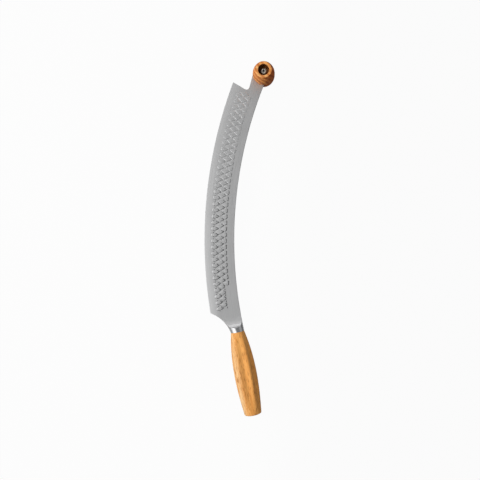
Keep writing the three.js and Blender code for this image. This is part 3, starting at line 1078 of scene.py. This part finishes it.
        # The walls at the corners towards the spine, which face away from the light, take the painted
        # shade, and so does the middle stretch of the diamonds by the edge.
        dark, plain = BladeFinish.DARK, BladeFinish.SATIN
        by_edge = depth < self.band_from_edge - self.column_pitch / 2
        side = [dark, plain, dark if by_edge else plain, plain]
        add_loft(work, rings, [*side, plain, *reversed(side), dark], self.shaded_rows)

    def clipped(self, depth: float, reach: float, rise: float, inner: float,
                outer: float) -> list[Span]:
        """Corners of a diamond that is cut off at the band's two sides.

        Args:
            depth: distance of its middle from the cutting edge.
            reach: half its size across the band.
            rise: half its size along the band.
            inner: depth at which the band begins.
            outer: depth at which it ends.

        Returns:
            Depth and place along the band of each corner.
        """
        high, low = min(depth + reach, outer), max(depth - reach, inner)
        middle = min(max(depth, low), high)
        near, far = lerp(high, middle, self.near_share), lerp(middle, low, self.far_share)
        places = (high, near, middle, far, low)
        corners = [(place, rise * (1 - abs(place - depth) / reach)) for place in places]
        return corners + [(place, -along) for place, along in reversed(corners)]

    def band(self) -> Piece:
        """Builds the raised diamonds of both faces.

        Returns:
            The diamonds as one object, for joining to the plate.
        """
        work = bmesh.new()
        middle_radius = self.plan.edge_radius - self.band_from_edge
        row_angle = self.row_pitch / middle_radius
        top = self.plan.tip_angle - self.band_end_margin / middle_radius
        rows = math.floor((top - self.plan.heel_angle) / row_angle)
        bare_top = self.plan.heel_angle + self.bare_length / middle_radius
        for face in Face:
            for row in range(rows):
                for column in range(self.columns):
                    stagger = 0.5 if column % 2 == 0 else 0
                    angle = top - (row + stagger) * row_angle
                    bare = self.bare_width if face is Face.FRONT and angle < bare_top else 0
                    outer = self.band_from_edge + self.band_width / 2 - bare
                    shift = (column - (self.columns - 1) / 2) * self.column_pitch + self.columns_aside
                    self.pad(work, self.band_from_edge + shift, angle, outer, face)
        return object_of("diamonds", work)

    def heel(self) -> Piece:
        """Builds the stretch of heel that thickens towards the bolster.

        Returns:
            The heel in the blade's frame, for joining to the plate.
        """
        work = bmesh.new()
        add_loft(work, self.blank.rings(-self.blank.grind_start, self.shoulder, self.heel_steps))
        to_blade = self.plan.blade_frame().inverted() @ self.plan.handle_frame()
        bmesh.ops.transform(work, matrix=to_blade, verts=work.verts)
        return object_of("heel", work)

    def build(self) -> Piece:
        """Builds and dresses the whole blade.

        Returns:
            The blade in its place.
        """
        blade = self.plate()
        combine(blade, self.heel(), Combining.JOIN, self.crisp)
        combine(blade, self.band(), Combining.JOIN, self.crisp)
        return put(blade, self.plan.blade_frame(), "blade", "knife")


@dataclass
class Bolster:
    """The polished collar between heel and handle, ground flat with the heel at its front."""

    blade: Blade
    length: float = 10.5 * MM
    seam: float = 0.1 * MM
    slot_play: float = 0.3 * MM
    steps: int = 48
    crisp: float = 24

    def build(self) -> Piece:
        """Builds and dresses the collar.

        Returns:
            The collar in its place.
        """
        blank = self.blade.blank
        work = bmesh.new()
        add_loft(work, blank.rings(-self.length, -self.seam, self.steps))
        collar = object_of("polished_bolster", work, self.crisp, [BOLSTER_STEEL.material()])
        half = Vector((self.blade.tang_width, 0, self.blade.thickness)) / 2
        half += Vector((self.slot_play, 2 * self.length, self.slot_play))
        combine(collar, box_object(-half, half), Combining.CUT, self.crisp)
        return put(collar, self.blade.plan.handle_frame(), "bolster", "knife")


@dataclass
class Handle:
    """The fluted wooden barrel on the tang.

    Attributes:
        front_swell, butt_swell: powers that shape the barrel before and behind its belly.
        ridge_round: softness of the ridges, as a share of half a flute.
        ridge_turn: how far the ridges are turned about the axis.
    """

    blade: Blade
    length: float = 105.7 * MM
    belly_place: float = 55.5 * MM
    belly_radius: float = 14.1 * MM
    butt_radius: float = 10.7 * MM
    butt_dome: float = 2.2 * MM
    flutes: int = 6
    flute_depth: float = 3.8 * MM
    front_swell: float = 2.15
    butt_swell: float = 1.75
    ridge_round: float = 0.25
    ridge_turn: float = math.radians(2.5)
    pocket_play: float = 0.3 * MM
    flute_steps: int = 20
    rings: int = 96
    dome_rings: int = 12
    crisp: float = 40

    def ridge_radius(self, along: float) -> float:
        """Radius of the ridges.

        Args:
            along: place along the axis.

        Returns:
            The radius there.
        """
        root = self.blade.plan.root_radius
        if along < self.belly_place:
            share = (self.belly_place - along) / self.belly_place
            return self.belly_radius - (self.belly_radius - root) * share ** self.front_swell
        share = (along - self.belly_place) / (self.length - self.butt_dome - self.belly_place)
        return self.belly_radius - (self.belly_radius - self.butt_radius) * share ** self.butt_swell

    def ring(self, along: float, radius: float, depth: float) -> Ring:
        """Section with hollow flutes between softened ridges.

        Args:
            along: place along the axis.
            radius: radius of the ridges.
            depth: depth of the flutes.

        Returns:
            The section's points in the handle's frame.
        """
        points = []
        for k in range(self.flutes * self.flute_steps):
            turn = self.ridge_turn + 2 * math.pi * k / (self.flutes * self.flute_steps)
            from_ridge = 1 - abs(2 * (k % self.flute_steps) / self.flute_steps - 1)
            soft = math.hypot(from_ridge, self.ridge_round) - self.ridge_round
            reach = radius - depth * soft * (2 - soft)
            points.append(Vector((reach * math.cos(turn), along, reach * math.sin(turn))))
        return points

    def build(self) -> Piece:
        """Builds and dresses the barrel.

        Returns:
            The barrel in its place.
        """
        barrel = self.length - self.butt_dome
        rings = []
        for i in range(self.rings + 1):
            along = barrel * i / self.rings
            depth = self.flute_depth * math.sin(math.pi * i / self.rings)
            rings.append(self.ring(along, self.ridge_radius(along), depth))
        for k in range(1, self.dome_rings + 1):
            rise = math.sin(math.pi / 2 * k / (self.dome_rings + 0.5))
            radius = self.butt_radius * math.sqrt(1 - rise ** 2)
            rings.append(self.ring(barrel + self.butt_dome * rise, radius, 0))
        work = bmesh.new()
        add_loft(work, rings)
        handle = object_of("fluted_handle", work, self.crisp, [HANDLE_WOOD.material()])
        side = self.blade.tang_width / 2 + self.pocket_play
        thick = self.blade.thickness / 2 + self.pocket_play
        deep = self.blade.tang_length + self.pocket_play
        pocket = box_object(Vector((-side, -deep, -thick)), Vector((side, deep, thick)))
        combine(handle, pocket, Combining.CUT, self.crisp)
        return put(handle, self.blade.plan.handle_frame(), "handle", "knife")


@dataclass
class CrossGrip:
    """The two wooden halves of the cross grip with their screws and sleeve.

    Attributes:
        taper_power: how the taper quickens towards the face.
        face_overlap: steps of the outer round that wear the ring's paler wood, a painted light.
        grain_turn: how far the halves are turned about their axis, which turns their grain and the
            side that takes their painted light and shade.
    """

    plan: KnifePlan
    blade_thickness: float
    radius: float = 13.7 * MM
    length: float = 22.6 * MM
    straight: float = 2 * MM
    face_radius: float = 10.1 * MM
    eased: float = 0.6 * MM
    rim_eased: float = 0.3 * MM
    bore_radius: float = 2.8 * MM
    counterbore_radius: float = 6.8 * MM
    counterbore_depth: float = 9.2 * MM
    play: float = 0.3 * MM
    seam: float = 0.1 * MM
    screw_radius: float = 1.5 * MM
    screw_length: float = 11 * MM
    head_radius: float = 3.25 * MM
    head_height: float = 2.2 * MM
    head_rim: float = 0.9 * MM
    recess_length: float = 3.8 * MM
    recess_width: float = 0.9 * MM
    recess_depth: float = 1.3 * MM
    pit_radius: float = 1.3 * MM
    taper_power: float = 2
    face_overlap: int = 3
    grain_turn: float = math.radians(45)
    corner_steps: int = 5
    taper_steps: int = 24
    head_steps: int = 12
    knob_facets: int = 96
    screw_facets: int = 48
    pit_facets: int = 24
    bodies: dict[Face, str] = field(
        default_factory=lambda: {Face.FRONT: "front_grip", Face.REAR: "rear_grip"})

    def __post_init__(self) -> None:
        """Works out the heights along the grip's axis."""
        self.start = self.blade_thickness / 2 + self.play
        self.end = self.start + self.length
        self.seat = self.end - self.counterbore_depth

    def eased_corner(self, radius: float, height: float, turn: float, eased: float) -> Ring:
        """Quarter-round edge of the wood in radius and height.

        Args:
            radius: radius of the round's middle.
            height: height of the round's middle.
            turn: direction in which the round begins, in degrees.
            eased: radius of the round.

        Returns:
            Points of the round, over a quarter turn to the left.
        """
        turns = [math.radians(turn + 90 * k / self.corner_steps)
                 for k in range(self.corner_steps + 1)]
        return [Vector((radius + eased * math.cos(t), height + eased * math.sin(t)))
                for t in turns]

    def knob(self, face: Face) -> Piece:
        """Builds and dresses one half of the cross grip.

        Args:
            face: face of the blade that it stands on.

        Returns:
            The half in its place.
        """
        e, rim = self.eased, self.rim_eased
        profile = [Vector((self.bore_radius, self.start))]
        profile += self.eased_corner(self.radius - e, self.start + e, -90, e)
        taper_end = self.end - e
        for i in range(self.taper_steps + 1):
            share = i / self.taper_steps
            profile.append(Vector((
                lerp(self.radius, self.face_radius, share ** self.taper_power),
                lerp(self.start + self.straight, taper_end, share))))
        profile += self.eased_corner(self.face_radius - e, taper_end, 0, e)[1:]
        side_steps = len(profile) - self.face_overlap
        profile += self.eased_corner(self.counterbore_radius + rim, self.end - rim, 90, rim)
        wood_steps = len(profile) - 1
        profile += [Vector((self.counterbore_radius, self.seat)),
                    Vector((self.bore_radius, self.seat))]
        # The face ring takes the paler wood, a painted light.
        finishes = [KnobFinish.SIDE] * side_steps + [KnobFinish.RING] * (wood_steps - side_steps)
        # The counterbore takes the darker wood, a painted shade.
        finishes += [KnobFinish.SHADED_BORE] * (len(profile) - wood_steps)
        work = bmesh.new()
        add_turned(work, profile, self.knob_facets, finishes)
        side = face.name.lower()
        knob = object_of(f"{side}_grip_knob", work,
                         materials=[wood.material() for wood in (KNOB_WOOD, LIT_FACE_WOOD, SHADED_BORE_WOOD)])
        place = self.plan.grip_frame(face) @ Matrix.Rotation(self.grain_turn, 4, "Z")
        return put(knob, place, f"{side}_knob", self.bodies[face])

    def screw(self, face: Face) -> Piece:
        """Builds and dresses one pan-head screw with its cross recess.

        Args:
            face: face of the blade on whose side it sits.

        Returns:
            The screw in its place.
        """
        seat = self.seat + self.play + self.seam
        low = seat - self.screw_length
        top = seat + self.head_height
        profile = [(0, low), (self.screw_radius - self.play, low),
                   (self.screw_radius, low + self.play), (self.screw_radius, seat),
                   (self.head_radius, seat)]
        for i in range(self.head_steps):
            turn = math.pi / 2 * i / self.head_steps
            profile.append((self.head_radius * math.cos(turn), seat + lerp(
                self.head_rim, self.head_height, math.sin(turn))))
        work = bmesh.new()
        add_turned(work, [Vector(p) for p in (*profile, (0, top))], self.screw_facets)
        side = face.name.lower()
        screw = object_of(f"{side}_grip_screw", work,
                          materials=[SCREW_STEEL.material(), SHADED_RECESS_STEEL.material()])
        # The recess's walls take the near-black steel, a painted shade.
        long, wide = self.recess_length / 2, self.recess_width / 2
        for x, y in ((long, wide), (wide, long)):
            reach = Vector((x, y, self.recess_depth))
            middle = Vector((0, 0, top))
            arm = box_object(middle - reach, middle + reach, ScrewFinish.SHADED_RECESS)
            combine(screw, arm, Combining.CUT)
        combine(screw, self.pit(top), Combining.CUT)
        return put(screw, self.plan.grip_frame(face), f"{side}_screw", "knife")

    def pit(self, top: float) -> Piece:
        """Builds a cutter for the round, tapering middle of the cross recess.

        Args:
            top: height of the screw's top.

        Returns:
            The cutter.
        """
        profile = [(0, top - self.recess_depth), (self.pit_radius / 2, top - self.recess_depth),
                   (self.pit_radius, top - self.seam), (self.pit_radius, top + self.seam),
                   (0, top + self.seam)]
        work = bmesh.new()
        finishes = [ScrewFinish.SHADED_RECESS] * len(profile)
        add_turned(work, [Vector(p) for p in profile], self.pit_facets, finishes)
        return object_of("pit", work)

    def dress_sleeve(self) -> None:
        """Gives the CAD sleeve, which hides inside the grip, its finish."""
        sleeve = frame["nodes"]["knob_sleeve"]
        sleeve.data.materials.clear()
        sleeve.data.materials.append(SCREW_STEEL.material())
        log.info("knob_sleeve keeps its CAD mesh")

    def build(self) -> None:
        """Builds both halves with their screws and dresses the sleeve."""
        for face in Face:
            self.knob(face)
            self.screw(face)
        self.dress_sleeve()


# Studio


@dataclass
class Lamp:
    """A large soft lamp that looks at the knife.

    Attributes:
        name: name of the lamp.
        place: where it hangs.
        size: its width and height.
        exposure: brightness of a white card at the knife that faces the lamp.
    """

    name: str
    place: Vector
    size: Span
    exposure: float

    def hang(self) -> None:
        """Adds the lamp to the scene."""
        data = bpy.data.lights.new(self.name, "AREA")
        data.shape = "RECTANGLE"
        data.size, data.size_y = self.size
        data.energy = self.exposure * math.pi ** 2 * self.place.length_squared
        lamp = bpy.data.objects.new(self.name, data)
        lamp.location = self.place
        lamp.rotation_mode = "QUATERNION"
        lamp.rotation_quaternion = (-self.place).to_track_quat("-Z", "Y")
        lamp.visible_camera = False
        lamp.visible_glossy = False
        bpy.context.scene.collection.objects.link(lamp)


KEY_LAMP = Lamp("key", Vector((-0.95, 0.18, 0.87)), size=(0.9, 1.1), exposure=0.67)
FILL_LAMP = Lamp("fill", Vector((0.5, -0.45, 0.6)), size=(0.5, 0.5), exposure=0.06)


@dataclass
class Studio:
    """White table, soft light from the left and a camera above.

    The panels of light are ranges of a direction's X, Y or Z part. The range's first end is dark.

    Attributes:
        middle_height: height of the blade's middle plane.
        view_width: width of the picture's frame in that plane.
        view_middle: what the picture's middle shows in that plane.
        lean: how far the camera leans from straight above, towards the spine.
        roll: how far the camera turns about its line of sight.
        white_share: share of plain white in the table that the camera sees; the rest takes shadows.
        mirrored_share: the same share in the table that the steel mirrors: none, for its dark bands.
        table_tones: the two greys of the table's clouds.
        mirrored_shade: colour painted on the table's right part, a painted shade that the steel's
            right edges mirror.
        mirrored_shade_range: places along X where that part begins and is complete.
        white_level: brightness of the backdrop that the camera sees.
        room_level: brightness of the room between the panels.
        left_middle: Y part at the left panel's middle.
        left_ends: range of the distance from it.
        left_foot: range of the Z part over which the left panel fades in above the horizon.
    """

    middle_height: float
    view_width: float = 601.2 * MM
    view_middle: Span = (0.3 * MM, -0.6 * MM)
    lean: float = math.radians(2.5)
    roll: float = math.radians(-0.15)
    lens: float = 50
    sensor: float = 36
    floor_reach: float = 5
    floor_cells: int = 8
    white_share: float = 0.96
    mirrored_share: float = 0.0
    table_tones: Span = (0.38, 0.42)
    table_cloud: float = 0.3
    table_roughness: float = 0.9
    mirrored_shade: Colour = (0.1, 0.1, 0.1)
    mirrored_shade_range: Span = (0, 0.1)
    white_level: float = 0.975
    room_level: float = 0.2
    left_level: float = 1.65
    left_range: Span = (-0.02, -0.6)
    left_middle: float = -0.14
    left_ends: Span = (0.62, 0.05)
    left_foot: Span = (-0.05, 0.3)
    far_level: float = 0.6
    far_range: Span = (0.35, 0.8)
    right_level: float = 0.16
    right_range: Span = (0.6, 0.85)

    def add_camera(self) -> None:
        """Camera above the blade, at the distance that gives the frame's width."""
        data = bpy.data.cameras.new("camera")
        data.sensor_width = self.sensor
        data.lens = self.lens
        camera = bpy.data.objects.new("camera", data)
        distance = self.view_width * self.lens / self.sensor
        turn = Matrix.Rotation(self.lean, 4, "Y") @ Matrix.Rotation(self.roll, 4, "Z")
        target = Matrix.Translation((*self.view_middle, self.middle_height))
        camera.matrix_world = target @ turn @ Matrix.Translation((0, 0, distance))
        bpy.context.scene.collection.objects.link(camera)
        bpy.context.scene.camera = camera

    def add_floor(self) -> None:
        """Table under the knife that is white to the camera and keeps a faint shadow."""
        work = bmesh.new()
        bmesh.ops.create_grid(work, x_segments=self.floor_cells, y_segments=self.floor_cells,
                              size=self.floor_reach)
        floor = object_of("table", work)
        shader = SurfaceShader("white_table")
        place = shader.own_place()
        cloud = shader.noise(shader.stretched(place, (self.table_cloud,) * 3), detail=3)
        pale = shader.mix(cloud, *((tone,) * 3 for tone in self.table_tones))
        across = shader.parts(place)[0]
        # The table's right part is painted dark, a painted shade that the steel's right edges mirror;
        # the camera still sees it nearly white.
        colour = shader.mix(shader.ramp(across, *self.mirrored_shade_range), pale, self.mirrored_shade)
        shader.wear(Base_Color=colour, Roughness=self.table_roughness)
        rays = shader.node("LightPath").outputs
        mirrored = shader.math("MAXIMUM", rays["Is Glossy Ray"], rays["Is Transmission Ray"])
        share = shader.math("ADD", shader.math("MULTIPLY", rays["Is Camera Ray"], self.white_share),
                            shader.math("MULTIPLY", mirrored, self.mirrored_share))
        glow = shader.node("Emission", Strength=1.0)
        mixed = shader.node("MixShader", in_0=share, in_1=shader.surface.outputs[0],
                            in_2=glow.outputs[0])
        output = shader.tree.nodes["Material Output"]
        shader.feed(output.inputs["Surface"], mixed.outputs[0])
        floor.data.materials.append(shader.material)

    def add_world(self) -> None:
        """Dim room with soft panels to the left, to the right and beyond the tip."""
        world = bpy.data.worlds.new("studio")
        bpy.context.scene.world = world
        world.use_nodes = True
        shader = Shader(world.node_tree)
        x, y, z = shader.parts(shader.node("TexCoord").outputs["Generated"])
        from_middle = shader.math("ABSOLUTE", shader.math("SUBTRACT", y, self.left_middle))
        left = shader.ramp(x, *self.left_range)
        for limit in (shader.ramp(from_middle, *self.left_ends), shader.ramp(z, *self.left_foot)):
            left = shader.math("MULTIPLY", left, limit)
        level = self.room_level
        for panel, strength in ((left, self.left_level),
                                (shader.ramp(y, *self.far_range), self.far_level),
                                (shader.ramp(x, *self.right_range), self.right_level)):
            level = shader.math("MULTIPLY_ADD", panel, strength, level)
        seen = shader.node("LightPath").outputs["Is Camera Ray"]
        to_white = shader.math("SUBTRACT", self.white_level, level)
        background = shader.tree.nodes["Background"]
        background.inputs["Color"].default_value = (1, 1, 1, 1)
        shader.feed(background.inputs["Strength"],
                    shader.math("MULTIPLY_ADD", seen, to_white, level))

    def build(self) -> None:
        """Sets up floor, light and camera."""
        bpy.context.scene.view_settings.view_transform = "Standard"
        self.add_world()
        KEY_LAMP.hang()
        FILL_LAMP.hang()
        self.add_floor()
        self.add_camera()


def main() -> None:
    """Builds the knife piece by piece, then the studio."""
    logging.basicConfig(level=logging.INFO, format="%(name)s: %(message)s")
    turn = frame["joints"][0]["pos_m"]
    low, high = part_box("blade")
    middle_height = (low.z + high.z) / 2
    plan = KnifePlan(Vector(turn[:2]), middle_height)
    blade = Blade(plan)
    blade.build()
    Bolster(blade).build()
    Handle(blade).build()
    CrossGrip(plan, blade.thickness).build()
    Studio(middle_height).build()


if __name__ == "__main__":
    main()
